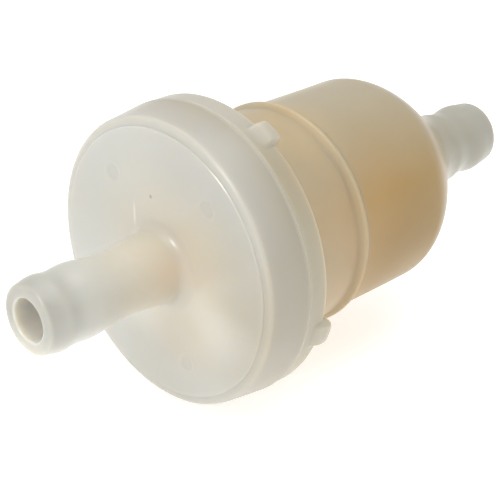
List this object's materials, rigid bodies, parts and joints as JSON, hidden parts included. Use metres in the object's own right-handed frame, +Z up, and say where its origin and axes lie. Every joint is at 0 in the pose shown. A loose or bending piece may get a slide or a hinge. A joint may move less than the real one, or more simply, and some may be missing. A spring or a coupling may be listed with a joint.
{
  "type": "inline fuel filter",
  "caption": "Milky plastic inline fuel filter: a flat cap with a hose nipple welded to a round bowl that narrows to an outlet nipple, with a pleated paper element inside.",
  "frame": {"origin": "on the filter's axis at the weld plane, where the rear rim of the inlet cap meets the bowl's flange", "axes": "+X along the fuel flow from the inlet nipple to the outlet nipple, +Z up"},
  "size_m": [0.0773, 0.036, 0.036],
  "materials": {
    "milky_nylon": "milky translucent natural nylon, satin, moulded",
    "weld_nylon": "melted and set again, smooth",
    "filter_paper": "resin-treated amber filter paper",
    "end_plastic": "plain natural plastic, moulded",
    "adhesive": "cured amber adhesive"
  },
  "bodies": {
    "root": {"inlet_cap": "milky_nylon", "filter_bowl": "milky_nylon", "weld_bead": "weld_nylon", "pleated_paper": "filter_paper", "seam_strip": "adhesive", "inlet_end_cup": "end_plastic", "outlet_end_cap": "end_plastic", "inlet_potting": "adhesive", "outlet_potting": "adhesive", "support_core": "end_plastic"}
  },
  "joints": []
}
